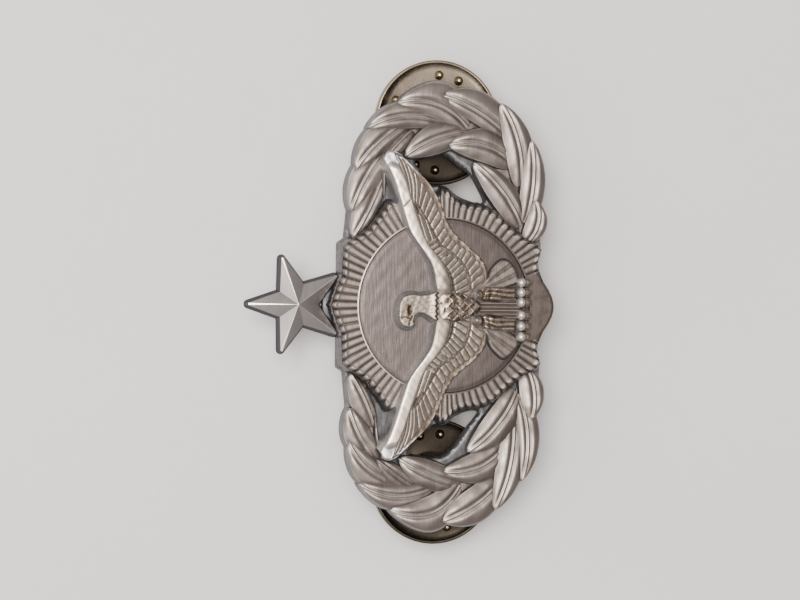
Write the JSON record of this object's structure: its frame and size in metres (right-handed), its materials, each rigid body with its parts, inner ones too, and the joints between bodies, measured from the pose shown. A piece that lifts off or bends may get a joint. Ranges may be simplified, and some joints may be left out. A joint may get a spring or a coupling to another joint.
{
  "type": "wreathed badge pin with two butterfly clutches",
  "caption": "Oval laurel-wreath badge pin with a star on top, a ribbed sunburst shield and a spread eagle, held by posts and butterfly clutches.",
  "frame": {"origin": "centre of the footprint, on the surface that the clutches' wings stand on, badge face up", "axes": "+Z out of the badge's front face, +Y towards the star, +X to the viewer's right along the oval's length"},
  "size_m": [0.0446, 0.0284, 0.0105],
  "materials": {
    "badge": "antiqued satin pewter",
    "plate": "dark antiqued pewter",
    "disc": "brushed antiqued pewter",
    "eagle": "worn bright high spots over dark patina",
    "post": "tarnished brass",
    "clutch": "dark tarnished brass",
    "spring": "bright drawn wire"
  },
  "bodies": {
    "badge": {"back_plate": "plate", "wreath_branch_left": "badge", "wreath_branch_right": "badge", "sunburst_shield": "badge", "centre_disc": "disc", "star": "badge", "eagle": "eagle", "right_post_flange": "post", "right_post": "post", "left_post_flange": "post", "left_post": "post"},
    "right_clutch_base": {"right_clutch_base": "clutch"},
    "right_clutch_cover": {"right_clutch_cover": "clutch", "right_spring_bend": "spring"},
    "right_clutch_wing_upper": {"right_clutch_wing_upper": "clutch"},
    "right_clutch_wing_lower": {"right_clutch_wing_lower": "clutch"},
    "right_spring_leg_upper": {"right_spring_leg_upper": "spring"},
    "right_spring_leg_lower": {"right_spring_leg_lower": "spring"},
    "left_clutch_base": {"left_clutch_base": "clutch"},
    "left_clutch_cover": {"left_clutch_cover": "clutch", "left_spring_bend": "spring"},
    "left_clutch_wing_upper": {"left_clutch_wing_upper": "clutch"},
    "left_clutch_wing_lower": {"left_clutch_wing_lower": "clutch"},
    "left_spring_leg_upper": {"left_spring_leg_upper": "spring"},
    "left_spring_leg_lower": {"left_spring_leg_lower": "spring"}
  },
  "joints": [
    {"name": "right_clutch_pull", "type": "slide", "parent": "badge", "child": "right_clutch_base", "axis": [0, 0, -1], "range_m": [0, 0.0068]},
    {"name": "right_cover_swivel", "type": "hinge", "parent": "right_clutch_base", "child": "right_clutch_cover", "pos_m": [0.0165, -0.00378, 0.0052], "axis": [0, 0, 1], "continuous": true},
    {"name": "right_wing_upper_pinch", "type": "hinge", "parent": "right_clutch_cover", "child": "right_clutch_wing_upper", "pos_m": [0.0165, -0.00128, 0.00338], "axis": [-1, 0, 0], "range_deg": [0, 10], "stiffness_Nm_per_rad": 0.004, "springref_deg": -11.46},
    {"name": "right_spring_leg_upper_spread", "type": "hinge", "parent": "right_clutch_cover", "child": "right_spring_leg_upper", "pos_m": [0.0142, -0.0008, 0.00425], "axis": [0, 0, 1], "range_deg": [0, 4]},
    {"name": "right_wing_lower_pinch", "type": "hinge", "parent": "right_clutch_cover", "child": "right_clutch_wing_lower", "pos_m": [0.0165, -0.00628, 0.00338], "axis": [1, 0, 0], "range_deg": [0, 10], "stiffness_Nm_per_rad": 0.004, "springref_deg": -11.46},
    {"name": "right_spring_leg_lower_spread", "type": "hinge", "parent": "right_clutch_cover", "child": "right_spring_leg_lower", "pos_m": [0.0142, -0.00675, 0.00425], "axis": [0, 0, -1], "range_deg": [0, 4]},
    {"name": "left_clutch_pull", "type": "slide", "parent": "badge", "child": "left_clutch_base", "axis": [0, 0, -1], "range_m": [0, 0.0068]},
    {"name": "left_cover_swivel", "type": "hinge", "parent": "left_clutch_base", "child": "left_clutch_cover", "pos_m": [-0.0165, -0.00378, 0.0052], "axis": [0, 0, 1], "continuous": true},
    {"name": "left_wing_upper_pinch", "type": "hinge", "parent": "left_clutch_cover", "child": "left_clutch_wing_upper", "pos_m": [-0.0165, -0.00128, 0.00338], "axis": [-1, 0, 0], "range_deg": [0, 10], "stiffness_Nm_per_rad": 0.004, "springref_deg": -11.46},
    {"name": "left_spring_leg_upper_spread", "type": "hinge", "parent": "left_clutch_cover", "child": "left_spring_leg_upper", "pos_m": [-0.0188, -0.0008, 0.00425], "axis": [0, 0, 1], "range_deg": [0, 4]},
    {"name": "left_wing_lower_pinch", "type": "hinge", "parent": "left_clutch_cover", "child": "left_clutch_wing_lower", "pos_m": [-0.0165, -0.00628, 0.00338], "axis": [1, 0, 0], "range_deg": [0, 10], "stiffness_Nm_per_rad": 0.004, "springref_deg": -11.46},
    {"name": "left_spring_leg_lower_spread", "type": "hinge", "parent": "left_clutch_cover", "child": "left_spring_leg_lower", "pos_m": [-0.0188, -0.00675, 0.00425], "axis": [0, 0, -1], "range_deg": [0, 4]}
  ],
  "couplings": [
    {"joint": "right_spring_leg_upper_spread", "follows": "right_wing_upper_pinch", "ratio": 0.35},
    {"joint": "right_spring_leg_lower_spread", "follows": "right_wing_lower_pinch", "ratio": 0.35},
    {"joint": "left_spring_leg_upper_spread", "follows": "left_wing_upper_pinch", "ratio": 0.35},
    {"joint": "left_spring_leg_lower_spread", "follows": "left_wing_lower_pinch", "ratio": 0.35}
  ]
}
